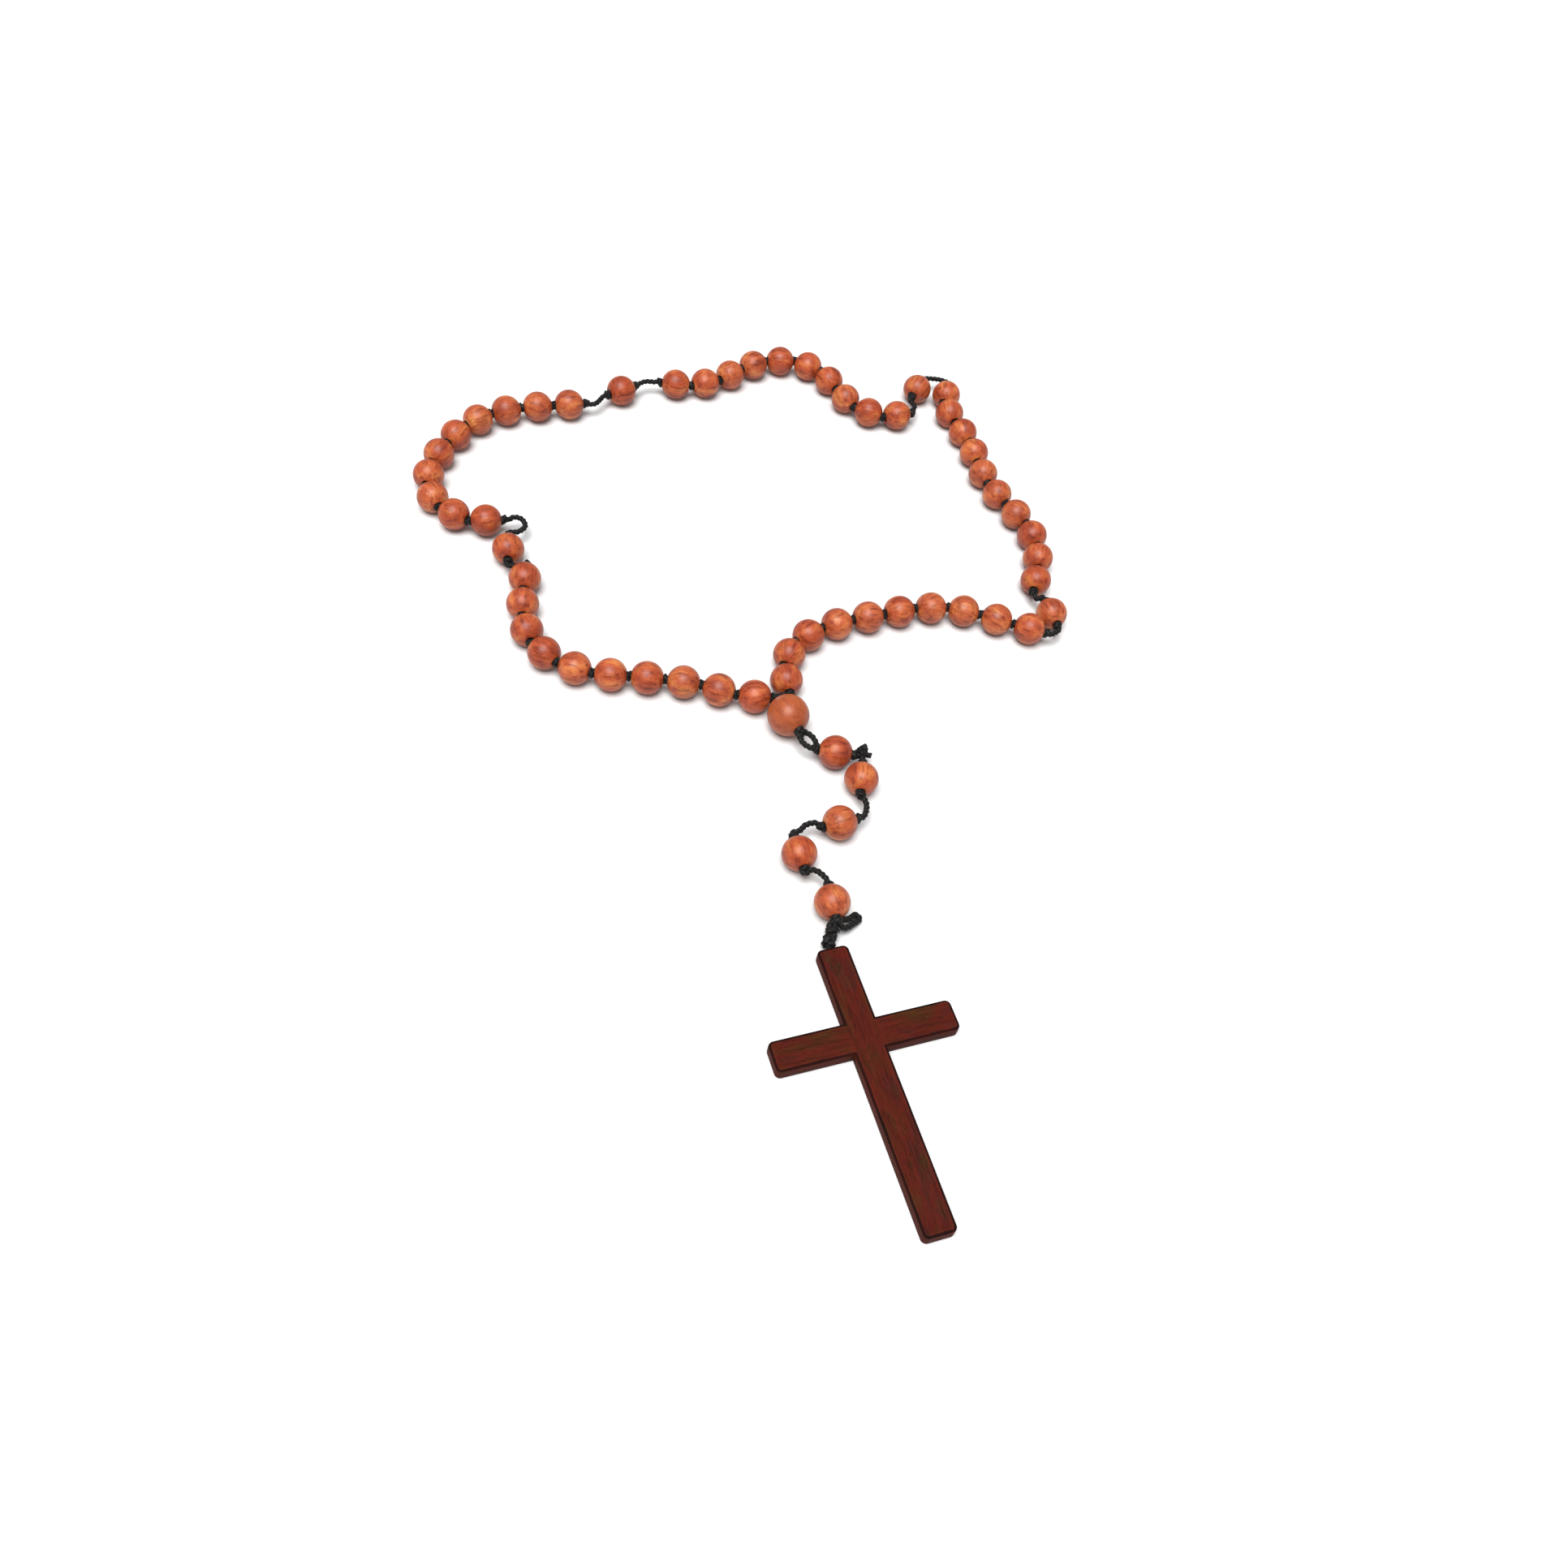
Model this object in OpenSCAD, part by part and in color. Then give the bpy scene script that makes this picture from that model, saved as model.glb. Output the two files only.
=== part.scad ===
// Rosary: five decades of wooden beads knotted on a black cord, a larger centre
// bead, five pendant beads and a flat wooden cross.  It lies flat on z = 0, with
// the cross towards -Y and the closed loop towards +Y.

/* [Beads] */
// Diameter of the decade, Our Father and pendant beads
bead_d = 8; // [7.8:0.1:8]
// Length of such a bead along its bore, between its two flat ends
bead_len = 7.6; // [7.4:0.1:7.6]
// Diameter of the larger centre bead
centre_d = 10; // [9.6:0.1:10]
// Diameter of the bore through every bead
bore_d = 1.6; // [1.6:0.1:1.8]

/* [Cord] */
// Diameter of the black cord
cord_d = 1.4; // [1:0.1:1.4]
// Diameter of an overhand knot
knot_d = 2.3; // [2:0.1:2.3]
// Gap left round a knot, in the beads and at the start of the next cord
knot_gap = 0.15; // [0.12:0.01:0.2]

/* [Cross] */
// Length of the upright
cross_len = 63.5; // [60:0.5:64]
// Length of the crosspiece
cross_span = 40; // [36:0.5:42]
// Width of both bars
cross_bar = 7; // [6:0.5:7.5]
// Thickness of the wood
cross_thick = 3; // [2.6:0.1:3.4]
// Distance from the top end to the middle of the crosspiece
cross_head = 21; // [18:0.5:24]
// Radius of the rounded corners
cross_corner = 1; // [0.6:0.1:1.5]
// Depth of the cord's hole in the top end
cross_hole_depth = 7; // [5:0.5:9]

/* [Hidden] */
$fn = 48;
// Distance from one knot of a decade to the next, with one bead between them
pitch = 8.6;
// Distance from the middle of a bead to the knot that it rests against
seat = pitch / 2;
centre_seat = centre_d / 2 + 0.3;
bead_r = bead_d / 2;
cord_z = bead_r;
CORD_SIDES = 8;            // faces round a cord
KNOT_SIDES = 12;           // faces round a knot
// Each decade: the knot before its first bead, then the cord's heading in
// degrees through each of its ten beads
decade_start = [[17.5, -5], [-59, 33.5], [-33.5, 99.5], [46.5, 126], [81, 35.5]];
decade_heading = [
    [190, 175, 185, 190, 190, 175, 150, 120, 105, 100],
    [200, 165, 130, 100, 80, 75, 55, 35, 25, 25],
    [10, 35, 55, 45, 20, -15, -50, -45, -10, 30],
    [-95, -60, -55, -70, -65, -50, -45, -65, -85, -95],
    [175, 175, 180, 200, 210, 210, 215, 230, 260, 290]
];
// Single beads: the middle of the bead, then the heading of its bore
our_father = [[-55, 24, 105], [-43, 92.5, 45], [37.5, 121.5, 75], [82, 43, 295]];
centre_bead = [22, -10, 310];
pendant = [[34.5, -17, 5], [41.5, -23, 275], [38.5, -36.5, 210], [31, -47, 295], [40, -57.5, 290]];
// Free cord before and after each Our Father bead, between its knots
slack_before = [[], [[-48.5, 84.5]], [[37.8, 113.5]], [[78, 47]]];
slack_after = [[[-55.3, 31.5], [-57, 35]], [[-37.5, 98.5]], [[40.5, 127.5], [44, 128]], []];
// Free cord before each pendant bead
pendant_slack = [[], [], [[43, -30.5]], [[32, -38.3], [30, -40.5]], [[35.5, -50.5]]];
// The knot that joins both strands below the first pendant bead, and its two ends
join_knot = [40.5, -15.4];
join_ends = [[41, -12.4], [43.2, -15]];
// How far each strand of the doubled cord bows to its side
strand_bow = 1.1;
// The small loop left at the pendant's last knot, with its heights
end_loop = [[43.9, -62.6, 2.2], [46.5, -60.2, 1], [45.4, -57.9, 1], [43.4, -62, 4.4]];
// The cross: the middle of its two bars, and how far its top leans left of +Y
cross_at = [51.5, -86.5];
cross_lean = 28;
// From the cross's top end to the knot that it hangs from
cross_knot_off = 1.8;
// The part of a decade that moves as one: its letter, first bead and last bead
THIRDS = [["a", 0, 2], ["b", 3, 6], ["c", 7, 9]];
OPENED = 2;             // the decade whose first cord starts at the opened pivot
opened_gap = 0.5;       // clearance round the knot of the opened pivot

function unit(a) = [cos(a), sin(a)];
function walk(d, n) = n == 0 ? decade_start[d]
    : walk(d, n - 1) + pitch * unit(decade_heading[d][n - 1]);
function bead_at(d, n) = walk(d, n) + seat * unit(decade_heading[d][n]);
function near_seat(b) = [b[0], b[1]] - seat * unit(b[2]);
function far_seat(b) = [b[0], b[1]] + seat * unit(b[2]);
function up(p, z = cord_z) = len(p) == 3 ? p : [p[0], p[1], z];
function tip(from, towards, gap) = from + gap * (towards - from) / norm(towards - from);

knot_clear = knot_d / 2 + knot_gap;
centre_z = centre_d / 2;
centre_mid = [centre_bead[0], centre_bead[1], centre_z];
centre_in = up([centre_bead[0], centre_bead[1]] - centre_seat * unit(centre_bead[2]), centre_z);
centre_out = up([centre_bead[0], centre_bead[1]] + centre_seat * unit(centre_bead[2]), centre_z);
cross_up = unit(90 + cross_lean);
cross_side = unit(cross_lean);
cross_top = cross_at + cross_head * cross_up;
cross_foot = cross_at - (cross_len - cross_head) * cross_up;
cross_knot = up(cross_top + cross_knot_off * cross_up, cross_thick / 2);

// The middle of the whole rosary, which goes to the origin
all_beads = [for (d = [0:4]) for (n = [0:9]) bead_at(d, n)];
all_x = [for (b = all_beads) b[0], for (b = our_father) b[0]];
back_edge = max([for (b = all_beads) b[1] + bead_r, for (b = our_father) b[1] + bead_r,
    for (k = decade_start) k[1] + knot_d / 2, for (s = slack_after) for (p = s) p[1] + cord_d / 2]);
front_edge = min([for (s = [-1, 1]) (cross_foot + cross_corner * cross_up
    + s * (cross_bar / 2 - cross_corner) * cross_side)[1]]) - cross_corner;
middle = [(min(all_x) + max(all_x)) / 2, (back_edge + front_edge) / 2];

// Puts what is drawn in layout coordinates in its place round the origin
module in_place() {
    translate([-middle[0], -middle[1], 0]) children();
}

// A turned wooden bead on its bore, which runs along X, hollowed for its knots
module turned_bead(d, len, seat_at) {
    rotate([0, 90, 0]) rotate_extrude() difference() {
        intersection() {
            circle(d = d);
            translate([bore_d / 2, -len / 2]) square([d, len]);
        }
        for (s = [-1, 1]) translate([0, s * seat_at]) circle(r = knot_clear);
    }
}

module bead(at, heading) {
    color("peru") in_place()
        translate(up(at)) rotate(heading) turned_bead(bead_d, bead_len, seat);
}

// A knot, as a faceted ball
module knot(at) {
    translate(up(at)) sphere(d = knot_d, $fn = KNOT_SIDES);
}

// A cord along points, as one closed tube with a mitred ring at each of them
module strand(points) {
    way = [for (p = points) up(p)];
    last = len(way) - 1;
    steps = [for (i = [0:last - 1]) (way[i + 1] - way[i]) / norm(way[i + 1] - way[i])];
    rings = [for (i = [0:last]) let (
        before = steps[max(i - 1, 0)],
        after = steps[min(i, last - 1)],
        along = (before + after) / norm(before + after),
        side = cross([0, 0, 1], along) / norm(cross([0, 0, 1], along)),
        mitre = 1 / (along * before)
    ) for (k = [0:CORD_SIDES - 1]) let (turn = 360 * k / CORD_SIDES)
        way[i] + cord_d / 2 * (mitre * cos(turn) * side + sin(turn) * cross(along, side))];
    walls = [for (i = [0:last - 1]) for (k = [0:CORD_SIDES - 1]) let (
        near = i * CORD_SIDES,
        far = near + CORD_SIDES,
        next = (k + 1) % CORD_SIDES
    ) each [[near + k, far + k, near + next], [near + next, far + k, far + next]]];
    ends = [[for (k = [0:CORD_SIDES - 1]) k],
        [for (k = [CORD_SIDES - 1:-1:0]) last * CORD_SIDES + k]];
    polyhedron(rings, concat(ends, walls));
}

module decade_beads(d, t) {
    for (n = [t[1]:t[2]]) bead(bead_at(d, n), decade_heading[d][n]);
}

// The cord of one third of a decade.  It starts clear of the knot before it and
// ends in its own last knot, which the next cord turns round.
module decade_cord(d, t) {
    knots = [for (n = [t[1] + 1:t[2] + 1]) walk(d, n)];
    opens = d == OPENED && t[1] == 0;
    far = far_seat(our_father[max(d - 1, 0)]);
    slack = opens ? slack_after[d - 1][0] : [];
    start = opens ? [tip(far, slack, knot_d / 2 + opened_gap), slack, walk(d, 0)]
        : [tip(walk(d, t[1]), knots[0], knot_clear)];
    color("black") in_place() {
        strand(concat(start, knots));
        for (k = knots) knot(k);
        if (opens) knot(walk(d, 0));
    }
}

// The cord through one Our Father bead, with the slack on both of its sides
module our_father_cord(i) {
    b = our_father[i];
    start = walk(i, 10);
    lead_in = concat(slack_before[i], [near_seat(b)]);
    lead_out = i + 1 == OPENED ? [] : concat(slack_after[i], [decade_start[i + 1]]);
    color("black") in_place() {
        strand(concat([tip(start, lead_in[0], knot_clear)], lead_in, [far_seat(b)], lead_out));
        knot(near_seat(b));
        knot(far_seat(b));
        if (i + 1 != OPENED) knot(decade_start[i + 1]);
    }
}

module centre_large_bead() {
    color("sandybrown") in_place()
        translate(centre_mid) rotate(centre_bead[2])
        turned_bead(centre_d, centre_d - 0.4, centre_seat);
}

// The knot that joins both ends of the loop, and the cord on through the large bead
module centre_cord() {
    joint = decade_start[0];
    color("black") in_place() {
        strand([tip(walk(4, 10), joint, knot_clear), joint, centre_in, centre_out]);
        for (k = [joint, centre_in, centre_out]) knot(k);
    }
}

// Two strands side by side between the large bead and the first pendant bead
module doubled_cord() {
    seat_knot = up(near_seat(pendant[0]));
    half_way = (centre_out + seat_knot) / 2;
    across = unit(atan2(seat_knot[1] - centre_out[1], seat_knot[0] - centre_out[0]) + 90);
    color("black") in_place() {
        for (s = [-1, 1]) {
            bow = half_way + up(s * strand_bow * across, 0);
            strand([tip(centre_out, bow, knot_clear), bow, seat_knot]);
        }
        knot(seat_knot);
    }
}

// The cord through pendant bead i, from the knot before it to the knot after it
module pendant_cord(i) {
    b = pendant[i];
    start = i == 0 ? near_seat(b) : i == 1 ? join_knot : far_seat(pendant[i - 1]);
    route = i == 0 ? [far_seat(b), join_knot] : concat(pendant_slack[i], [near_seat(b), far_seat(b)]);
    color("black") in_place() {
        strand(concat([tip(start, route[0], knot_clear)], route));
        knot(far_seat(b));
        knot(i == 0 ? join_knot : near_seat(b));
        if (i == 0) for (e = join_ends) strand([join_knot, e]);
        if (i == 4) {
            seat_knot = up(far_seat(b));
            last = len(end_loop) - 1;
            strand(concat([seat_knot], end_loop));
            strand([end_loop[last], seat_knot]);
        }
    }
}

// The cord from the last pendant knot down to the cross's own knot
module tail_cord() {
    start = up(far_seat(pendant[4]));
    color("black") in_place() {
        strand([tip(start, cross_knot, knot_clear), tip(cross_knot, start, knot_clear)]);
        knot((start + cross_knot) / 2);
    }
}

// The cord's last knot, and its end, which is glued into the cross
module cross_cord() {
    glued = cross_hole_depth - knot_gap;
    color("black") in_place() {
        knot(cross_knot);
        strand([cross_knot, cross_knot - up((cross_knot_off + glued) * cross_up, 0)]);
    }
}

// A flat bar with rounded corners, centred on the origin, along X
module rounded_bar(len) {
    x = len / 2 - cross_corner;
    y = cross_bar / 2 - cross_corner;
    linear_extrude(cross_thick) {
        square([len, 2 * y], center = true);
        square([2 * x, cross_bar], center = true);
        for (sx = [-1, 1]) for (sy = [-1, 1]) translate([sx * x, sy * y]) circle(cross_corner);
    }
}

// The wooden cross, face up on the table, with the hole in its top end
module cross() {
    color("saddlebrown") in_place() translate(up(cross_at, 0)) rotate(cross_lean) difference() {
        union() {
            rounded_bar(cross_span);
            translate([0, cross_head - cross_len / 2, 0]) rotate(90) rounded_bar(cross_len);
        }
        translate([0, cross_head - cross_hole_depth, cross_thick / 2]) rotate([-90, 0, 0])
            cylinder(d = bore_d, h = 2 * cross_hole_depth);
    }
}

for (d = [0:4]) for (t = THIRDS) {
    decade_beads(d, t);
    decade_cord(d, t);
}
for (i = [0:3]) {
    bead([our_father[i][0], our_father[i][1]], our_father[i][2]);
    our_father_cord(i);
}
for (i = [0:4]) {
    bead([pendant[i][0], pendant[i][1]], pendant[i][2]);
    pendant_cord(i);
}
centre_large_bead();
centre_cord();
doubled_cord();
tail_cord();
cross();
cross_cord();
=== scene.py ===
"""A rosary of turned wooden beads knotted on a black laid cord, with a flat wooden cross.

It lies on a table. Lengths are in millimetres and become metres by MM. The layout has
its own origin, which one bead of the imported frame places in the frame.
"""
import math
import random

import bmesh
import bpy
from mathutils import Matrix, Vector, noise


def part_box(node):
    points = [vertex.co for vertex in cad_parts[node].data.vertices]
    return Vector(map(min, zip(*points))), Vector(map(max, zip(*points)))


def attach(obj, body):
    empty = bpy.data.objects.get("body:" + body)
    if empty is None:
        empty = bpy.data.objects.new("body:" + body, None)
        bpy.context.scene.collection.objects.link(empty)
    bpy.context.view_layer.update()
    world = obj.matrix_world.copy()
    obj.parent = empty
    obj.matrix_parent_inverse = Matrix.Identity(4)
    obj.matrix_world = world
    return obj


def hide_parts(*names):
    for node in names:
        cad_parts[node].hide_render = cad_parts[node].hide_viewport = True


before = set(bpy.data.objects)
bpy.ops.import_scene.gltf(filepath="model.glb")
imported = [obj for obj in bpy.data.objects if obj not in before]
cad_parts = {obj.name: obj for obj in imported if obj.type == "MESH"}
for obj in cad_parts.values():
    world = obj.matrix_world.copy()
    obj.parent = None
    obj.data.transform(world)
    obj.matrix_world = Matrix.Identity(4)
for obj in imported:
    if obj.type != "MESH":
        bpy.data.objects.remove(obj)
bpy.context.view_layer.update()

# --- The camera ------------------------------------------------------------------------------------
# It is held over the near end of the table, a hand's breadth beyond the foot of
# the cross, looking down at the loop with a slight lean to one side.
MM = 0.001
LOOKS_DOWN = math.radians(52.7)
LEANS = math.radians(12.4)
CAMERA_AT = Vector((24.3, -228.4, 263.2)) * MM
camera = bpy.data.objects.new("camera", bpy.data.cameras.new("camera"))
camera.data.sensor_width = 36
camera.data.lens = 33.1
camera.data.clip_start = 0.01
camera.matrix_world = (
    Matrix.Translation(CAMERA_AT)
    @ Matrix.Rotation(math.pi / 2 - LOOKS_DOWN, 4, "X")
    @ Matrix.Rotation(LEANS, 4, "Z")
)
bpy.context.scene.collection.objects.link(camera)
bpy.context.scene.camera = camera

# --- The cord through the five decades -------------------------------------------------------------
# One black cotton cord of three plies, laid up tight and lightly waxed. An overhand
# knot is pulled up on each side of every bead. Each third of a decade has its own
# length of cord, which begins in the middle of the knot before it.
CORD_D = 1.5
PLY_LAY = 3.4              # length along the cord of one full turn of the plies
SAMPLE = 0.3               # spacing of the cord's rings
BEAD_D = 8.0
PITCH = 8.6                # from one knot to the next, with a bead between
SEAT = PITCH / 2           # from the middle of a bead to the knot beside it
BEAD_KNOT = 2.75           # width of the knots between a decade's beads
FIRST_KNOT = 2.8           # width of the knot that a decade begins at
ANY_TURN = (0, 6.28)       # how far a knot or a bead may be turned about its cord
THIRDS = {"a": (0, 3), "b": (3, 7), "c": (7, 10)}
DECADE_START = [(17.5, -5), (-59, 33.5), (-33.5, 99.5), (46.5, 126), (81, 35.5)]
DECADE_HEADING = [
    (190, 175, 185, 190, 190, 175, 150, 120, 105, 100),
    (200, 165, 130, 100, 80, 75, 55, 35, 25, 25),
    (10, 35, 55, 45, 20, -15, -50, -45, -10, 30),
    (-95, -60, -55, -70, -65, -50, -45, -65, -85, -95),
    (175, 175, 180, 200, 210, 210, 215, 230, 260, 290),
]
OUR_FATHER = [(-55, 24, 105), (-43, 92.5, 45), (37.5, 121.5, 75), (82, 43, 295)]

one_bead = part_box("our_father_1_bead")
LAYOUT_ORIGIN = (one_bead[0] + one_bead[1]) / 2 - Vector((*OUR_FATHER[0][:2], BEAD_D / 2)) * MM


def place(x, y, z=BEAD_D / 2):
    """A point of the layout, in the frame."""
    return LAYOUT_ORIGIN + Vector((x, y, z)) * MM


def heading(degrees):
    """The level direction at that many degrees from +X towards +Y."""
    return Vector((math.cos(math.radians(degrees)), math.sin(math.radians(degrees)), 0))


STEPS_PER_SPAN = 16


def smooth_way(points):
    """Even points, SAMPLE apart, on the smooth curve through the given ones."""
    ends = [2 * points[0] - points[1], *points, 2 * points[-1] - points[-2]]
    fine = []
    for p0, p1, p2, p3 in zip(ends, ends[1:], ends[2:], ends[3:]):
        t1 = (p1 - p0).length ** 0.5
        t2 = t1 + (p2 - p1).length ** 0.5
        t3 = t2 + (p3 - p2).length ** 0.5
        for step in range(STEPS_PER_SPAN):
            t = t1 + (t2 - t1) * step / STEPS_PER_SPAN
            a1 = p0.lerp(p1, t / t1)
            a2 = p1.lerp(p2, (t - t1) / (t2 - t1))
            a3 = p2.lerp(p3, (t - t2) / (t3 - t2))
            b1 = a1.lerp(a2, t / t2)
            b2 = a2.lerp(a3, (t - t1) / (t3 - t1))
            fine.append(b1.lerp(b2, (t - t1) / (t2 - t1)))
    fine.append(points[-1])
    way = [fine[0]]
    left = SAMPLE * MM
    for here, after in zip(fine, fine[1:]):
        gap = (after - here).length
        while gap >= left:
            here = here.lerp(after, left / gap)
            way.append(here)
            gap = (after - here).length
            left = SAMPLE * MM
        left -= gap
    return way


KNOT_DRAWN = 2.5           # width of the knot that the points in overhand make
TURN_REACH = 0.6           # how far the knot's own turn is from the cord's line
TURN_STEPS = 8
TURN_FROM = 120            # degrees at which the turn begins
TURN_STEP = 48             # degrees from one of its points to the next


def overhand(at, along, width, roll):
    """The cord's points through a tight overhand knot: in, once round itself and out."""
    size = width / KNOT_DRAWN
    side = Matrix.Rotation(roll, 3, along) @ along.cross(Vector((0, 0, 1))).normalized()
    up = along.cross(side)
    way = [(-1.15, 0, 0), (-0.6, -0.2, 0), (0.1, -0.28, 0.05), (0.55, -0.45, 0.28)]
    for turn in range(TURN_STEPS):
        angle = math.radians(TURN_FROM - TURN_STEP * turn)
        way.append((0.42 - 0.12 * turn, TURN_REACH * math.cos(angle), TURN_REACH * math.sin(angle)))
    way += [(-0.1, 0.3, 0.12), (0.5, 0.22, 0), (1.15, 0, 0)]
    return [at + (x * along + y * side + z * up) * size * MM for x, y, z in way]


def fresh_material(name):
    """A new material, its node tree and its Principled shader."""
    material = bpy.data.materials.new(name)
    material.use_nodes = True
    return material, material.node_tree, material.node_tree.nodes["Principled BSDF"]


def speckle(tree, where, scale, detail, rough=0.5):
    """Noise over the places that the output `where` gives."""
    grains = tree.nodes.new("ShaderNodeTexNoise")
    grains.inputs["Scale"].default_value = scale
    grains.inputs["Detail"].default_value = detail
    grains.inputs["Roughness"].default_value = rough
    tree.links.new(where, grains.inputs["Vector"])
    return grains.outputs["Fac"]


def ramp(tree, fac, *stops):
    """The colours of the stops, each a position and its colour, spread over fac."""
    colours = tree.nodes.new("ShaderNodeValToRGB")
    ends = colours.color_ramp.elements
    for end, (position, colour) in zip(ends, (stops[0], stops[-1])):
        end.position = position
        end.color = (*colour, 1)
    for position, colour in stops[1:-1]:
        ends.new(position).color = (*colour, 1)
    tree.links.new(fac, colours.inputs["Fac"])
    return colours.outputs["Color"]


def vary_roughness(tree, shader, pattern, smoothest, roughest):
    """Roughness that follows the pattern between two values."""
    spread = tree.nodes.new("ShaderNodeMapRange")
    spread.inputs["To Min"].default_value = smoothest
    spread.inputs["To Max"].default_value = roughest
    tree.links.new(pattern, spread.inputs["Value"])
    tree.links.new(spread.outputs["Result"], shader.inputs["Roughness"])


def raise_relief(tree, shader, pattern, strength, depth):
    """Fine relief that follows the pattern."""
    relief = tree.nodes.new("ShaderNodeBump")
    relief.inputs["Strength"].default_value = strength
    relief.inputs["Distance"].default_value = depth * MM
    tree.links.new(pattern, relief.inputs["Height"])
    tree.links.new(relief.outputs["Normal"], shader.inputs["Normal"])


def black_cord():
    """Black waxed cotton, with a soft sheen and dusty grey fibres where it is rubbed."""
    cloth, tree, shader = fresh_material("black waxed cotton")
    shader.inputs["Sheen Weight"].default_value = 0.06
    shader.inputs["Sheen Roughness"].default_value = 0.4
    shader.inputs["Specular IOR Level"].default_value = 0.25
    where = tree.nodes.new("ShaderNodeTexCoord").outputs["Object"]
    fibres = speckle(tree, where, scale=2600, detail=4)
    shade = ramp(tree, fibres, (0.35, (0.0012, 0.001, 0.001)), (0.8, (0.007, 0.006, 0.0055)))
    tree.links.new(shade, shader.inputs["Base Color"])
    vary_roughness(tree, shader, fibres, smoothest=0.42, roughest=0.72)
    raise_relief(tree, shader, fibres, strength=0.5, depth=0.05)
    return cloth


BLACK_CORD = black_cord()

PLY_COUNT = 3
SECTION_POINTS = 15
PLY_DEPTH = 0.14           # how deep the grooves between plies are, as a part of the radius


def ply_section():
    """The outline of the plies across the cord, which the cord's curve carries along."""
    outline = bpy.data.curves.new("plies", "CURVE")
    outline.dimensions = "2D"
    ring = outline.splines.new("POLY")
    ring.points.add(SECTION_POINTS - 1)
    ring.use_cyclic_u = True
    for n, point in enumerate(ring.points):
        angle = 2 * math.pi * n / SECTION_POINTS
        reach = CORD_D / 2 * MM * (1 - PLY_DEPTH + PLY_DEPTH * math.cos(PLY_COUNT * angle))
        point.co = (reach * math.cos(angle), reach * math.sin(angle), 0, 1)
    return bpy.data.objects.new("plies", outline)


PLIES = ply_section()
bpy.context.scene.collection.objects.link(PLIES)


def lay_cord(name, body, node, *routes):
    """One piece of cord along one or more routes, twisted by the lay of its plies."""
    curve = bpy.data.curves.new(name, "CURVE")
    curve.dimensions = "3D"
    curve.bevel_mode = "OBJECT"
    curve.bevel_object = PLIES
    curve.use_fill_caps = True
    for route in routes:
        way = smooth_way(route)
        spline = curve.splines.new("POLY")
        spline.points.add(len(way) - 1)
        for n, (point, at) in enumerate(zip(spline.points, way)):
            point.co = (*at, 1)
            point.tilt = 2 * math.pi * n * SAMPLE / PLY_LAY
    laid = bpy.data.objects.new(name, curve)
    bpy.context.scene.collection.objects.link(laid)
    bpy.context.view_layer.update()
    solid = bpy.data.meshes.new_from_object(laid.evaluated_get(bpy.context.evaluated_depsgraph_get()))
    bpy.data.objects.remove(laid)
    piece = bpy.data.objects.new(name, solid)
    bpy.context.scene.collection.objects.link(piece)
    for face in solid.polygons:
        face.use_smooth = True
    solid.materials.clear()
    solid.materials.append(BLACK_CORD)
    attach(piece, body)
    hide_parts(node)


decade_knots = []
decade_beads = []
for start, headings in zip(DECADE_START, DECADE_HEADING):
    knots = [place(*start)]
    for turn in headings:
        knots.append(knots[-1] + PITCH * MM * heading(turn))
    decade_knots.append(knots)
    decade_beads.append([(knot + SEAT * MM * heading(turn), turn) for knot, turn in zip(knots, headings)])

SLACK_AFTER_SECOND = (-37.5, 98.5)
luck = random.Random(11)
for d, knots in enumerate(decade_knots):
    for letter, (first, end) in THIRDS.items():
        third = f"{d + 1}{letter}"
        route = [knots[first]]
        if third == "3a":
            # The third decade's cord also has the slack from the second Our Father bead.
            x, y, turn = OUR_FATHER[1]
            route = [place(x, y) + SEAT * MM * heading(turn), place(*SLACK_AFTER_SECOND)]
            route += overhand(knots[0], heading(DECADE_HEADING[2][0]), FIRST_KNOT, roll=1.0)
        for n in range(first + 1, end + 1):
            route.append(decade_beads[d][n - 1][0])
            turns = DECADE_HEADING[d][n - 1 : n + 1]
            route += overhand(knots[n], heading(sum(turns) / len(turns)), BEAD_KNOT, luck.uniform(*ANY_TURN))
        lay_cord(f"cord_{third}", f"decade_{third}", f"decade_{third}_cord", route)

# --- The cord at the Our Father beads --------------------------------------------------------------
# The same cord, left longer on one or both sides of most of these beads, where its
# slack bows out of line. Each length ends in the knot that the next decade begins at,
# but the second one ends in the knot at the far side of its bead.
SLACK_BEFORE = [[], [(-48.5, 84.5)], [(37.8, 113.5)], [(78, 47)]]
SLACK_AFTER = [
    [(-54.2, 30.6), (-53.2, 33), (-54.8, 35.2), (-56.8, 35.2)],
    None,
    [(40.5, 127.5), (44, 128)],
    [],
]
SINGLE_KNOT = 2.9          # width of the knots beside an Our Father bead
for i, (x, y, turn) in enumerate(OUR_FATHER):
    bead = place(x, y)
    near, far = (bead + side * SEAT * MM * heading(turn) for side in (-1, 1))
    route = [decade_knots[i][10], *(place(*p) for p in SLACK_BEFORE[i])]
    route += overhand(near, heading(turn), SINGLE_KNOT, roll=0.8 + i)
    route.append(bead)
    route += overhand(far, heading(turn), SINGLE_KNOT, roll=2.4 + i)
    if SLACK_AFTER[i] is not None:
        route += [place(*p) for p in SLACK_AFTER[i]]
        route += overhand(decade_knots[i + 1][0], heading(DECADE_HEADING[i + 1][0]), FIRST_KNOT, roll=1.7)
    lay_cord(f"cord_our_father_{i + 1}", f"our_father_{i + 1}", f"our_father_{i + 1}_cord", route)

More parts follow.
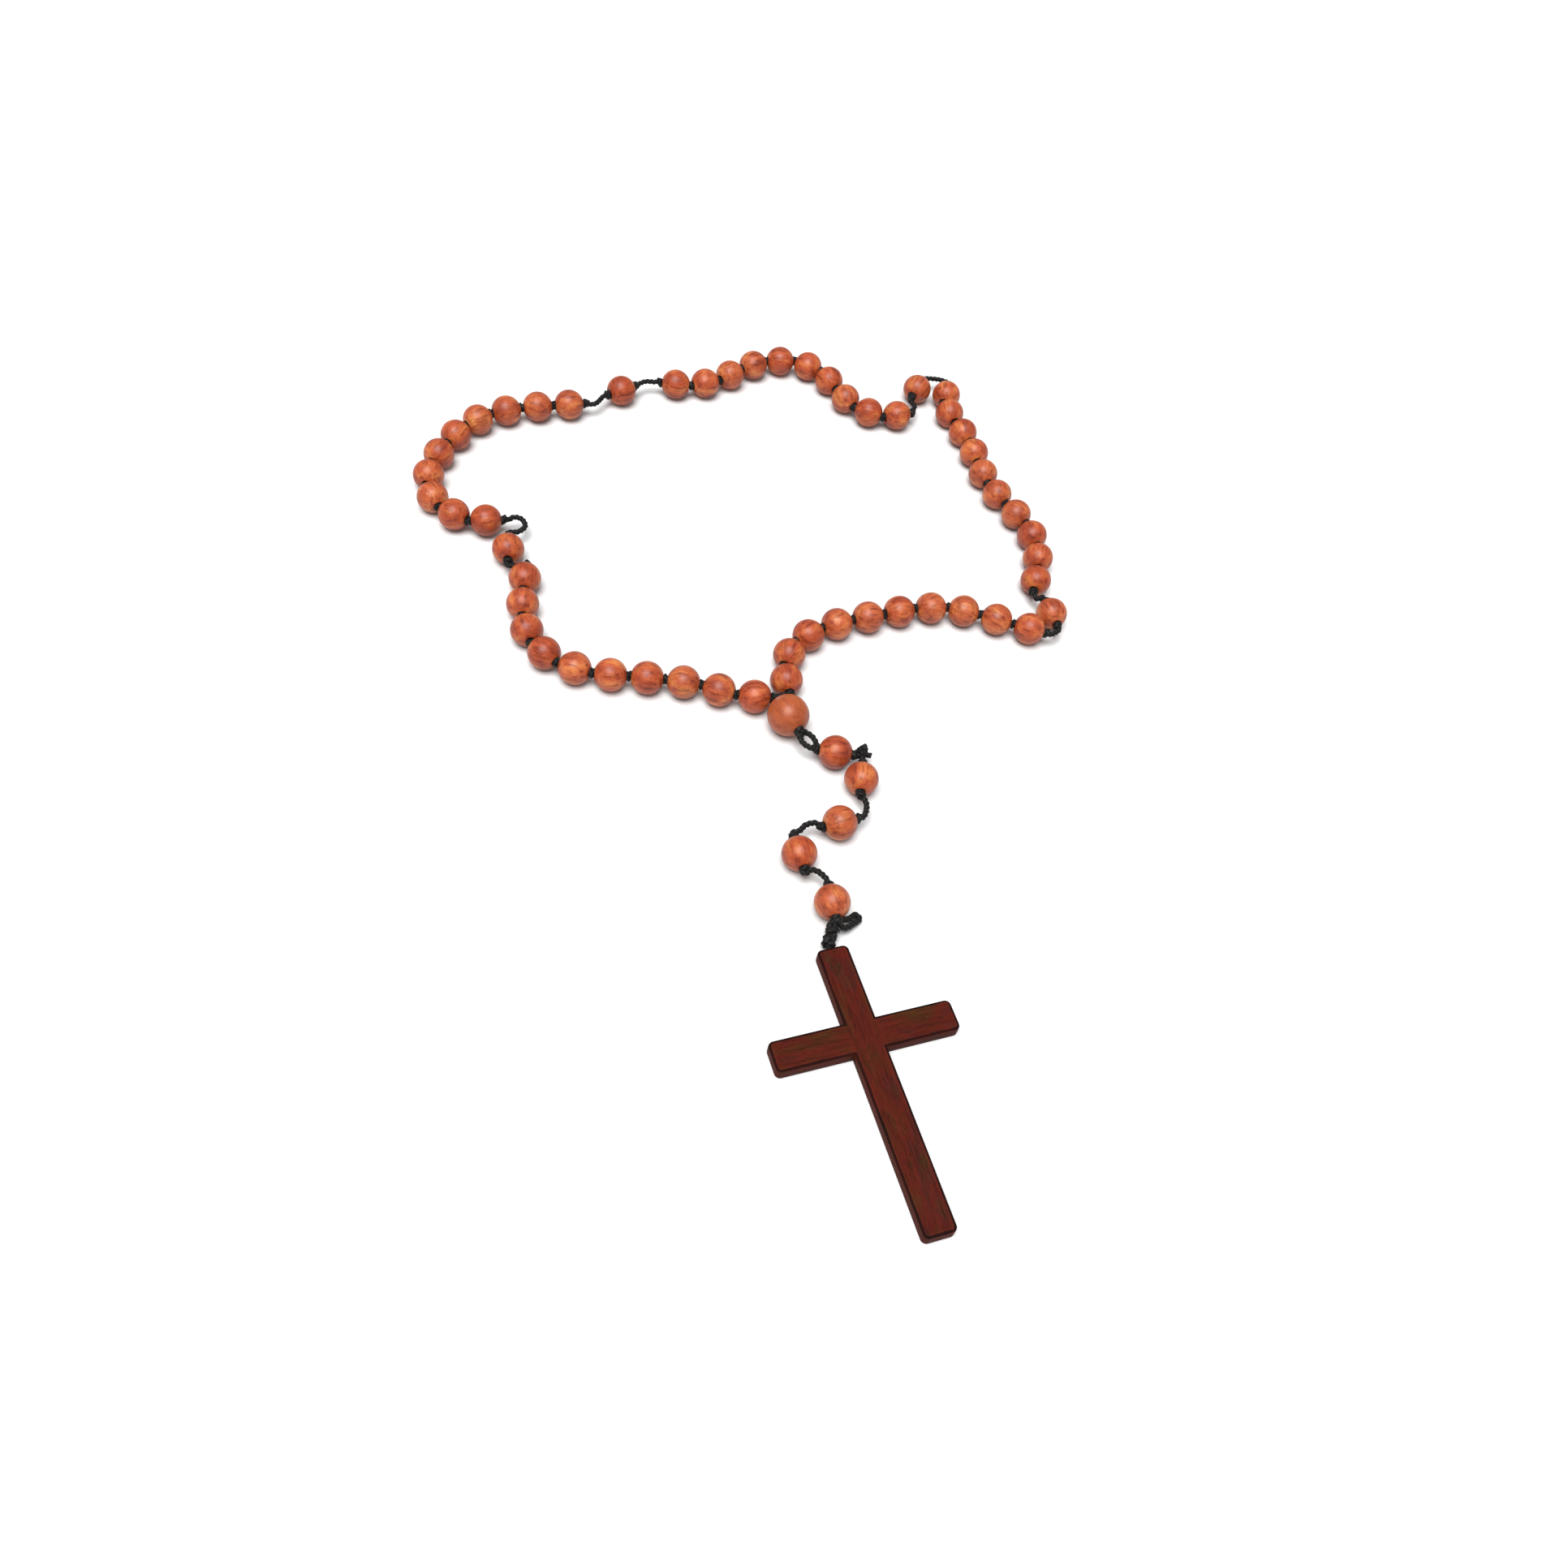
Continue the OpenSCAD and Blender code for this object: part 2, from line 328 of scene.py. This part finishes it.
# --- The cord through the large bead ---------------------------------------------------------------
# Both ends of the loop meet in one knot behind the large bead, run through its bore
# side by side, and part again below it into two strands.
LARGE_D = 10.0
LARGE_BEAD = (22, -10, 310)
LARGE_SEAT = LARGE_D / 2 + 0.3
BORE_SPREAD = 0.3          # how far each strand is from the middle of the bore
JOINT_KNOT = 2.9           # widths of the knots behind, against and below the large bead
IN_KNOT = 2.6
OUT_KNOT = 3.1
large_bead = place(*LARGE_BEAD[:2], LARGE_D / 2)
through = heading(LARGE_BEAD[2])
across = heading(LARGE_BEAD[2] + 90)
joint = decade_knots[0][0]
loop_end = decade_knots[4][10]
large_in = large_bead - LARGE_SEAT * MM * through
large_out = large_bead + LARGE_SEAT * MM * through
closing = overhand(joint, (joint - loop_end).normalized(), JOINT_KNOT, roll=0.4)
first_strand = [
    joint,
    *overhand(large_in, through, IN_KNOT, roll=2.0),
    large_bead + across * BORE_SPREAD * MM,
    *overhand(large_out, through, OUT_KNOT, roll=0.9),
    large_out + 1.2 * MM * through,
]
second_strand = [
    joint - Vector((0, 0, 0.5 * MM)),
    large_in - across * 0.4 * MM,
    large_bead - across * BORE_SPREAD * MM,
    large_out - across * 0.7 * MM,
    large_out - across * 0.9 * MM + 0.8 * MM * through,
]
closing_end = joint + (large_in - joint) * 0.4
lay_cord(
    "cord_centre", "centre", "centre_cord",
    [loop_end, *closing, closing_end], first_strand, second_strand,
)

# --- The doubled cord and the pendant's cord -------------------------------------------------------
# Two strands run from the large bead to the first pendant bead. Below that bead
# they are knotted together and one is cut off, with two short ends left. A single
# cord goes on through the other beads, and ends in a small loop at its last knot.
PENDANT = [(34.5, -17, 5), (41.5, -23, 275), (38.5, -36.5, 210), (31, -47, 295), (40, -57.5, 290)]
PENDANT_SLACK = [
    [],
    [],
    [(43.6, -29.6), (43.8, -32.4)],
    [(33.2, -38.0), (31.1, -39.2), (30.1, -41.0)],
    [(35.5, -50.5)],
]
JOIN_AT = (40.5, -15.4)
JOIN_ENDS = [[(40.8, -14.2), (41.1, -12.9)], [(41.9, -15.7), (43, -15.9)]]
STRAND_BOW = 1.5           # how far each of the two strands bows out
STRAND_KNOT = 2.6          # widths of the knots down the pendant
NEAR_KNOT = 2.7
FAR_KNOT = 2.8
JOIN_KNOT = 3.6
END_LOOP = [
    (43.5, -62.3, 2.4), (45.5, -60.2, 1.6), (46.6, -58.3, 1.1), (45.7, -57.6, 1.2), (44.2, -59.7, 2.2),
]
pendant_bead = [place(x, y) for x, y, turn in PENDANT]
near_seat = [bead - SEAT * MM * heading(p[2]) for bead, p in zip(pendant_bead, PENDANT)]
far_seat = [bead + SEAT * MM * heading(p[2]) for bead, p in zip(pendant_bead, PENDANT)]
span = near_seat[0] - large_out
bow = Vector((-span.y, span.x, 0)).normalized() * STRAND_BOW * MM
middle = large_out + span * 0.5
close_by = near_seat[0] - span * 0.1
left_strand = [large_out + bow * 0.4, middle + bow, close_by + bow * 0.3]
left_strand += overhand(near_seat[0], heading(PENDANT[0][2] - 15), STRAND_KNOT, roll=0.5)
right_strand = [large_out - bow * 0.4, middle - bow, close_by - bow * 0.4, near_seat[0]]
lay_cord("cord_doubled", "doubled", "doubled_cord", left_strand, right_strand)

join = place(*JOIN_AT)
joined = [near_seat[0], pendant_bead[0]]
joined += overhand(far_seat[0], heading(PENDANT[0][2] + 15), NEAR_KNOT, roll=1.4)
joined += overhand(join, heading(60), JOIN_KNOT, roll=2.6)
first_end, second_end = ([place(*p) for p in end] for end in JOIN_ENDS)
lay_cord("cord_pendant_1", "pendant_1", "pendant_1_cord", joined + first_end, [join, *second_end])

for i in range(1, 5):
    before = join if i == 1 else far_seat[i - 1]
    route = [before, *(place(*p) for p in PENDANT_SLACK[i])]
    route += overhand(near_seat[i], heading(PENDANT[i][2]), NEAR_KNOT, roll=1.1 * i)
    route.append(pendant_bead[i])
    route += overhand(far_seat[i], heading(PENDANT[i][2]), FAR_KNOT, roll=0.7 + 1.9 * i)
    routes = [route]
    if i == 4:
        routes.append([far_seat[4], *(place(*p) for p in END_LOOP), far_seat[4]])
    lay_cord(f"cord_pendant_{i + 1}", f"pendant_{i + 1}", f"pendant_{i + 1}_cord", *routes)

# --- The cord down to the cross --------------------------------------------------------------------
# A doubled tail with a thick knot half-way hangs from the last pendant bead. Its
# ends are knotted again at the cross and glued into the hole in its top end.
CROSS_AT = (51.5, -86.5)
CROSS_LEAN = 28            # degrees that its upright is turned from +Y
CROSS_HEAD = 21            # from the middle of the crosspiece to the top end
CROSS_THICK = 3.0
CROSS_HOLE_DEPTH = 7
CROSS_KNOT_OFF = 1.8       # from the top end to the middle of its knot
CROSS_KNOT_LIFT = 0.3
CROSS_KNOT = 3.7
TAIL_KNOT = 3.8
GLUE_GAP = 0.2             # left at the bottom of the hole
cross_up = heading(90 + CROSS_LEAN)
cross_knot = place(*CROSS_AT, CROSS_THICK / 2) + (CROSS_HEAD + CROSS_KNOT_OFF) * MM * cross_up
tail = cross_knot - far_seat[4]
tail_way = tail.normalized()
tail_side = tail_way.cross(Vector((0, 0, 1))).normalized()
half_way = far_seat[4] + tail * 0.5
knotted_strand = [far_seat[4], *overhand(half_way, tail_way, TAIL_KNOT, roll=0.3), cross_knot]
loose_strand = [
    far_seat[4],
    far_seat[4] + tail * 0.25 + tail_side * 0.9 * MM,
    half_way + tail_side * 0.5 * MM,
    far_seat[4] + tail * 0.75 - tail_side * 0.8 * MM,
    cross_knot,
]
lay_cord("cord_tail", "tail", "tail_cord", knotted_strand, loose_strand)

lifted_knot = cross_knot + Vector((0, 0, CROSS_KNOT_LIFT * MM))
glued_end = cross_knot - (CROSS_KNOT_OFF + CROSS_HOLE_DEPTH - GLUE_GAP) * MM * cross_up
lay_cord(
    "cord_cross", "cross", "cross_cord",
    [*overhand(lifted_knot, -cross_up, CROSS_KNOT, roll=1.2), glued_end],
)
bpy.data.objects.remove(PLIES)

# --- The wooden beads of the decades ---------------------------------------------------------------
# Each is turned from a stick of red-brown hardwood with the grain along its bore,
# drilled right through, countersunk for the knots, tumbled smooth and waxed.
BORE_D = 1.6
LIP_D = 2.7                # where the countersink meets the outside
BEAD_STEPS = 40            # round the bore
ROUND_STEPS = 22           # along the outside, from one end to the other
HAND_TUMBLED = 0.012       # how far out of round the tumbling leaves a bead, as a part of its size
LUMP_SCALE = 0.35
STICK_LENGTH = 400         # the stick that each bead is cut from, either way from its middle
LUMP_REACH = 90
GRAIN_LEAN = 0.35          # radians that the grain may lean from the bore
BORE_KEPT = 0.3            # within this of the bore's wall a bead stays truly round


def bead_outline(diameter):
    """Half the section of a bead, with its bore along X, from one end of the countersink round."""
    radius = diameter / 2
    lip = math.asin(LIP_D / diameter)
    angles = [lip + (math.pi - 2 * lip) * n / ROUND_STEPS for n in range(ROUND_STEPS + 1)]
    rounded = [(radius * math.cos(a), radius * math.sin(a)) for a in angles]
    edge = rounded[0][0]
    countersink = [
        (edge - 1.9, BORE_D / 2), (edge - 0.9, BORE_D / 2 + 0.1),
        (edge - 0.25, LIP_D / 2 - 0.32), (edge, LIP_D / 2 - 0.1),
    ]
    return countersink + rounded + [(-x, y) for x, y in reversed(countersink)]


def turn_bead(mesh, at, turn, diameter, luck):
    """Adds one turned bead to a bmesh, with its own cut of the grain and its own tone."""
    grain = mesh.verts.layers.float_vector["grain"]
    tone = mesh.verts.layers.float["tone"]
    others = set(mesh.verts)
    outline = [mesh.verts.new((x, y, 0)) for x, y in bead_outline(diameter)]
    edges = [mesh.edges.new(pair) for pair in zip(outline, outline[1:])]
    edges.append(mesh.edges.new((outline[-1], outline[0])))
    bmesh.ops.spin(
        mesh, geom=outline + edges, cent=(0, 0, 0), axis=(1, 0, 0), angle=2 * math.pi,
        steps=BEAD_STEPS, use_merge=True,
    )
    offset = Vector([luck.uniform(-STICK_LENGTH, STICK_LENGTH) for _ in range(3)])
    leaning = Matrix.Rotation(luck.uniform(-GRAIN_LEAN, GRAIN_LEAN), 3, "Y")
    cut = leaning @ Matrix.Rotation(luck.uniform(*ANY_TURN), 3, "X")
    lumps = Vector([luck.uniform(-LUMP_REACH, LUMP_REACH) for _ in range(3)])
    shade = luck.random()
    along_cord = Matrix.Rotation(math.radians(turn), 3, "Z")
    turned = along_cord @ Matrix.Rotation(luck.uniform(*ANY_TURN), 3, "X")
    for vert in mesh.verts:
        if vert in others:
            continue
        if vert.co.yz.length > BORE_D / 2 + BORE_KEPT:
            worn = 0.5 + 0.5 * noise.noise(vert.co * LUMP_SCALE + lumps)
            vert.co *= 1 - HAND_TUMBLED * worn
        vert[grain] = cut @ vert.co + offset
        vert[tone] = shade
        vert.co = at + turned @ vert.co * MM


def bead_piece(name, body, node, beads, diameter, wood, seed):
    """One piece of one or more beads, which stands for the frame's plain ones."""
    mesh = bmesh.new()
    mesh.verts.layers.float_vector.new("grain")
    mesh.verts.layers.float.new("tone")
    luck = random.Random(seed)
    for at, turn in beads:
        turn_bead(mesh, at, turn, diameter, luck)
    bmesh.ops.recalc_face_normals(mesh, faces=mesh.faces)
    data = bpy.data.meshes.new(name)
    mesh.to_mesh(data)
    mesh.free()
    for face in data.polygons:
        face.use_smooth = True
    data.materials.append(wood)
    piece = bpy.data.objects.new(name, data)
    bpy.context.scene.collection.objects.link(piece)
    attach(piece, body)
    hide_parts(node)


UNTINTED = (1, 1, 1)


def layer(tree, name):
    """The node that reads one of the mesh's own layers."""
    read = tree.nodes.new("ShaderNodeAttribute")
    read.attribute_name = name
    return read


def drawn_out(tree, where, squeeze):
    """The same places squeezed along an axis, so that a pattern on them is drawn out that way."""
    squeezed = tree.nodes.new("ShaderNodeMapping")
    squeezed.inputs["Scale"].default_value = squeeze
    tree.links.new(where, squeezed.inputs["Vector"])
    return squeezed.outputs["Vector"]


def multiply(tree, a, b, strength=1.0):
    """Colour a tinted by colour b."""
    mix = tree.nodes.new("ShaderNodeMix")
    mix.data_type = "RGBA"
    mix.blend_type = "MULTIPLY"
    mix.inputs["Factor"].default_value = strength
    tree.links.new(a, mix.inputs["A"])
    tree.links.new(b, mix.inputs["B"])
    return mix.outputs["Result"]


def bead_wood(name, dark, middle, pale, streaks):
    """Waxed hardwood. The grain layer is the bead's place in its own stick, in millimetres."""
    wood, tree, shader = fresh_material(name)
    shader.inputs["Coat Weight"].default_value = 0.07
    shader.inputs["Coat Roughness"].default_value = 0.3
    shader.inputs["Specular IOR Level"].default_value = 0.32
    stick = layer(tree, "grain").outputs["Vector"]
    own_tone = layer(tree, "tone").outputs["Fac"]

    def along_grain(squeeze, scale, detail, rough):
        return speckle(tree, drawn_out(tree, stick, (squeeze, 1, 1)), scale, detail, rough)

    clouds = along_grain(squeeze=0.45, scale=0.33, detail=3, rough=0.6)
    rings = along_grain(squeeze=0.12, scale=1.1, detail=3, rough=0.55)
    fibres = along_grain(squeeze=0.1, scale=5.0, detail=5, rough=0.7)
    pores = along_grain(squeeze=0.16, scale=7.5, detail=2, rough=0.5)
    colour = ramp(tree, clouds, (0.3, dark), (0.5, middle), (0.72, pale))
    for marks in (
        ramp(tree, rings, (0.34, (0.55, 0.42, 0.36)), (0.5, UNTINTED), (0.68, (1.0, 0.98, 0.94))),
        ramp(tree, fibres, (0.3, (0.72, 0.64, 0.58)), (0.62, UNTINTED)),
        ramp(tree, pores, (0.3, (0.35, 0.22, 0.16)), (0.38, UNTINTED)),
    ):
        colour = multiply(tree, colour, marks, streaks)
    tint = ramp(tree, own_tone, (0.0, (0.86, 0.76, 0.72)), (0.5, UNTINTED), (1.0, (1.0, 1.16, 1.2)))
    tree.links.new(multiply(tree, colour, tint), shader.inputs["Base Color"])
    vary_roughness(tree, shader, fibres, smoothest=0.34, roughest=0.5)
    raise_relief(tree, shader, pores, strength=0.35, depth=0.06)
    return wood


RED_WOOD = bead_wood(
    "waxed red wood", dark=(0.29, 0.047, 0.018), middle=(0.46, 0.09, 0.03), pale=(0.64, 0.21, 0.062),
    streaks=1.0,
)
for d in range(5):
    for letter, (first, end) in THIRDS.items():
        third = f"{d + 1}{letter}"
        bead_piece(
            f"beads_{third}", f"decade_{third}", f"decade_{third}_beads",
            decade_beads[d][first:end], BEAD_D, RED_WOOD, seed=100 * d + first,
        )

# --- The Our Father beads and the pendant beads ----------------------------------------------------
# They are the same turned beads, one at a time on longer cord. Each turns freely on it.
for i, (x, y, turn) in enumerate(OUR_FATHER):
    bead_piece(
        f"our_father_{i + 1}", f"our_father_bead_{i + 1}", f"our_father_{i + 1}_bead",
        [(place(x, y), turn)], BEAD_D, RED_WOOD, seed=700 + i,
    )
for i, (bead, (_, _, turn)) in enumerate(zip(pendant_bead, PENDANT)):
    bead_piece(
        f"pendant_{i + 1}", f"pendant_bead_{i + 1}", f"pendant_{i + 1}_bead",
        [(bead, turn)], BEAD_D, RED_WOOD, seed=800 + i,
    )

# --- The large bead --------------------------------------------------------------------------------
# It is turned from a paler, closer wood and sanded finer, so it shows less grain.
PALE_WOOD = bead_wood(
    "waxed pale wood", dark=(0.29, 0.06, 0.019), middle=(0.36, 0.078, 0.024), pale=(0.43, 0.11, 0.035),
    streaks=0.5,
)
bead_piece(
    "large_bead_turned", "large_bead", "centre_large_bead",
    [(large_bead, LARGE_BEAD[2])], LARGE_D, PALE_WOOD, seed=900,
)

# --- The cross -------------------------------------------------------------------------------------
# Sawn in one piece from thin dark wood, its corners and edges rounded on a belt, then
# stained a reddish brown. Its colour has painted shade along the edges and a painted
# highlight in a thin line just inside them.
CROSS_LEN = 63.5
CROSS_SPAN = 40.0
CROSS_BAR = 7.0
CORNER = 1.2               # radius of the bars' corners
ARRIS = 0.35               # radius of the edges of the front and back
EDGE_SHADE_BANDS = (0.25, 0.5, 0.75)     # distances in from the arris where the painted edge shade and highlight step
HOLE_STEPS = 20
GRAIN_TURN = 1.2           # half the width over which the grain turns from one bar to the other
EDGE_SHADE_RAGGED = 0.3         # how far the streaks draw the edge of the painted shade and highlight about


def cut_cross():
    """The cross in its own axes, upright along Y and flat on z = 0.

    The rim layer is the distance from the arris.
    """
    mesh = bmesh.new()
    rim = mesh.verts.layers.float.new("rim")
    half = CROSS_BAR / 2
    top, foot, arm = CROSS_HEAD, CROSS_HEAD - CROSS_LEN, CROSS_SPAN / 2
    outline = [
        (half, half), (half, top), (-half, top), (-half, half), (-arm, half), (-arm, -half),
        (-half, -half), (-half, foot), (half, foot), (half, -half), (arm, -half), (arm, half),
    ]
    back = mesh.faces.new([mesh.verts.new((x, y, 0)) for x, y in outline])
    lifted = bmesh.ops.extrude_face_region(mesh, geom=[back])["geom"]
    front = [item for item in lifted if isinstance(item, bmesh.types.BMVert)]
    bmesh.ops.translate(mesh, verts=front, vec=(0, 0, CROSS_THICK))
    bmesh.ops.recalc_face_normals(mesh, faces=mesh.faces)

    def rise(edge):
        return abs(edge.verts[0].co.z - edge.verts[1].co.z)

    def at_an_end(edge):
        return max(map(abs, edge.verts[0].co.xy)) > CROSS_BAR

    corners = [edge for edge in mesh.edges if rise(edge) > ARRIS and at_an_end(edge)]
    bmesh.ops.bevel(
        mesh, geom=corners, offset=CORNER, affect="EDGES", segments=6, profile=0.5, material=-1,
    )
    rims = [edge for edge in mesh.edges if rise(edge) < ARRIS]
    bmesh.ops.bevel(
        mesh, geom=rims, offset=ARRIS, affect="EDGES", segments=4, profile=0.5, material=-1,
    )

    mesh.normal_update()
    for face in sorted(mesh.faces, key=lambda f: -f.calc_area())[:2]:
        reached = 0
        for band in EDGE_SHADE_BANDS:
            bmesh.ops.inset_region(mesh, faces=[face], thickness=band - reached, use_even_offset=True)
            reached = band
            for vert in face.verts:
                vert[rim] = band

    end = max(mesh.faces, key=lambda f: (round(f.calc_center_median().y, 3), f.calc_area()))
    end_rim = list(end.edges)
    bmesh.ops.delete(mesh, geom=[end], context="FACES_ONLY")
    mouth = Matrix.Translation((0, CROSS_HEAD, CROSS_THICK / 2)) @ Matrix.Rotation(math.pi / 2, 4, "X")
    drilled = bmesh.ops.create_circle(mesh, segments=HOLE_STEPS, radius=BORE_D / 2, matrix=mouth)["verts"]
    mouth_rim = [edge for edge in mesh.edges if all(vert in drilled for vert in edge.verts)]
    bmesh.ops.triangle_fill(mesh, edges=end_rim + mouth_rim, use_beauty=True)
    sunk = bmesh.ops.extrude_edge_only(mesh, edges=mouth_rim)["geom"]
    bottom = [item for item in sunk if isinstance(item, bmesh.types.BMVert)]
    bmesh.ops.translate(mesh, verts=bottom, vec=(0, -CROSS_HOLE_DEPTH, 0))
    sunk_edges = [item for item in sunk if isinstance(item, bmesh.types.BMEdge)]
    bottom_rim = [edge for edge in sunk_edges if all(vert in bottom for vert in edge.verts)]
    bmesh.ops.edgeloop_fill(mesh, edges=bottom_rim)
    bmesh.ops.recalc_face_normals(mesh, faces=mesh.faces)
    return mesh


def stained_wood_and_painted_edges():
    """Open-grained wood under a dark red stain, with painted shade along its edges and a painted highlight
    just inside them.

    The board layer is the place on the cross, in millimetres.
    """
    wood, tree, shader = fresh_material("stained dark wood, painted edge shade")
    shader.inputs["Specular IOR Level"].default_value = 0.08
    board = layer(tree, "board").outputs["Vector"]
    rim = layer(tree, "rim").outputs["Fac"]
    split = tree.nodes.new("ShaderNodeSeparateXYZ")
    tree.links.new(board, split.inputs["Vector"])

    def reckon(operation, a, b=0.0):
        """The result of one operation on outputs or plain numbers."""
        step = tree.nodes.new("ShaderNodeMath")
        step.operation = operation
        for socket, value in zip(step.inputs, (a, b)):
            if isinstance(value, float):
                socket.default_value = value
            else:
                tree.links.new(value, socket)
        return step.outputs["Value"]

    on_arm = tree.nodes.new("ShaderNodeMapRange")
    on_arm.interpolation_type = "SMOOTHSTEP"
    on_arm.inputs["From Min"].default_value = CROSS_BAR / 2 - GRAIN_TURN
    on_arm.inputs["From Max"].default_value = CROSS_BAR / 2 + GRAIN_TURN
    tree.links.new(reckon("ABSOLUTE", split.outputs["X"]), on_arm.inputs["Value"])

    def along_bars(squeeze, scale, detail):
        """A pattern drawn out along whichever bar it is on."""
        upright = speckle(tree, drawn_out(tree, board, (1, squeeze, 1)), scale, detail, rough=0.6)
        arms = speckle(tree, drawn_out(tree, board, (squeeze, 1, 1)), scale, detail, rough=0.6)
        mix = tree.nodes.new("ShaderNodeMix")
        tree.links.new(on_arm.outputs["Result"], mix.inputs["Factor"])
        tree.links.new(upright, mix.inputs["A"])
        tree.links.new(arms, mix.inputs["B"])
        return mix.outputs["Result"]

    clouds = along_bars(squeeze=0.35, scale=0.28, detail=3)
    streaks = along_bars(squeeze=0.1, scale=1.3, detail=4)
    pores = along_bars(squeeze=0.12, scale=5.5, detail=3)
    colour = ramp(
        tree, clouds,
        (0.3, (0.046, 0.0145, 0.0026)), (0.42, (0.055, 0.0095, 0.0026)), (0.52, (0.068, 0.0068, 0.0028)),
        (0.62, (0.054, 0.0078, 0.0046)), (0.72, (0.043, 0.013, 0.0034)),
    )
    streaked = ramp(tree, streaks, (0.34, (0.72, 0.7, 0.68)), (0.5, UNTINTED), (0.66, (1.22, 1.18, 1.15)))
    pored = ramp(tree, pores, (0.34, (0.45, 0.4, 0.4)), (0.44, UNTINTED))
    colour = multiply(tree, multiply(tree, colour, streaked), pored)

    # Painted shade and highlight: the colour darkens towards every arris, on the faces and the sides, and
    # lightens in a thin painted highlight band just inside.
    off_middle = reckon("ABSOLUTE", reckon("SUBTRACT", split.outputs["Z"], CROSS_THICK / 2))
    from_edge = reckon("ADD", rim, reckon("SUBTRACT", CROSS_THICK / 2, off_middle))
    ragged = reckon("ADD", from_edge, reckon("MULTIPLY", streaks, EDGE_SHADE_RAGGED))
    painted_edge_shade_and_highlight = ramp(
        tree, ragged,
        (0.12, (0.12, 0.09, 0.11)), (0.3, (0.32, 0.28, 0.3)), (0.46, (1.3, 1.45, 1.4)), (0.75, UNTINTED),
    )
    tree.links.new(multiply(tree, colour, painted_edge_shade_and_highlight), shader.inputs["Base Color"])
    vary_roughness(tree, shader, pores, smoothest=0.6, roughest=0.75)
    raise_relief(tree, shader, pores, strength=0.4, depth=0.08)
    return wood


mesh = cut_cross()
board = mesh.verts.layers.float_vector.new("board")
for vert in mesh.verts:
    vert[board] = vert.co
laid_flat = Matrix.Translation(place(*CROSS_AT, 0)) @ Matrix.Rotation(math.radians(CROSS_LEAN), 4, "Z")
bmesh.ops.transform(mesh, matrix=laid_flat @ Matrix.Scale(MM, 4), verts=mesh.verts)
cross_data = bpy.data.meshes.new("mahogany_cross")
mesh.to_mesh(cross_data)
mesh.free()
cross_data.materials.append(stained_wood_and_painted_edges())
cross = bpy.data.objects.new("mahogany_cross", cross_data)
bpy.context.scene.collection.objects.link(cross)
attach(cross, "cross")
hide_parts("cross")

# --- The table and the light -----------------------------------------------------------------------
# A plain white table top, one wide soft light overhead and an even pale room. These
# sizes are in metres.
TABLE_REACH = 6
TABLE_WHITE = 0.7
SOFTBOX_ACROSS = 2.2
SOFTBOX_WATTS = 141
SOFTBOX_AT = Vector((-0.3, -0.7, 2.9))
ROOM_LIGHT = 0.4
floor_mesh = bmesh.new()
bmesh.ops.create_grid(floor_mesh, x_segments=1, y_segments=1, size=TABLE_REACH)
floor_data = bpy.data.meshes.new("floor")
floor_mesh.to_mesh(floor_data)
floor_mesh.free()
floor = bpy.data.objects.new("floor", floor_data)
bpy.context.scene.collection.objects.link(floor)
white, _, paint = fresh_material("white table")
paint.inputs["Base Color"].default_value = (TABLE_WHITE, TABLE_WHITE, TABLE_WHITE, 1)
paint.inputs["Roughness"].default_value = 0.9
floor_data.materials.append(white)

softbox = bpy.data.lights.new("softbox", "AREA")
softbox.shape = "DISK"
softbox.size = SOFTBOX_ACROSS
softbox.energy = SOFTBOX_WATTS
lamp = bpy.data.objects.new("softbox", softbox)
lamp.location = SOFTBOX_AT
lamp.rotation_euler = (-SOFTBOX_AT).to_track_quat("-Z", "Y").to_euler()
bpy.context.scene.collection.objects.link(lamp)

room = bpy.data.worlds.new("room")
room.use_nodes = True
air = room.node_tree.nodes["Background"]
air.inputs["Color"].default_value = (1, 1, 1, 1)
air.inputs["Strength"].default_value = ROOM_LIGHT
bpy.context.scene.world = room
bpy.context.scene.view_settings.view_transform = "Standard"
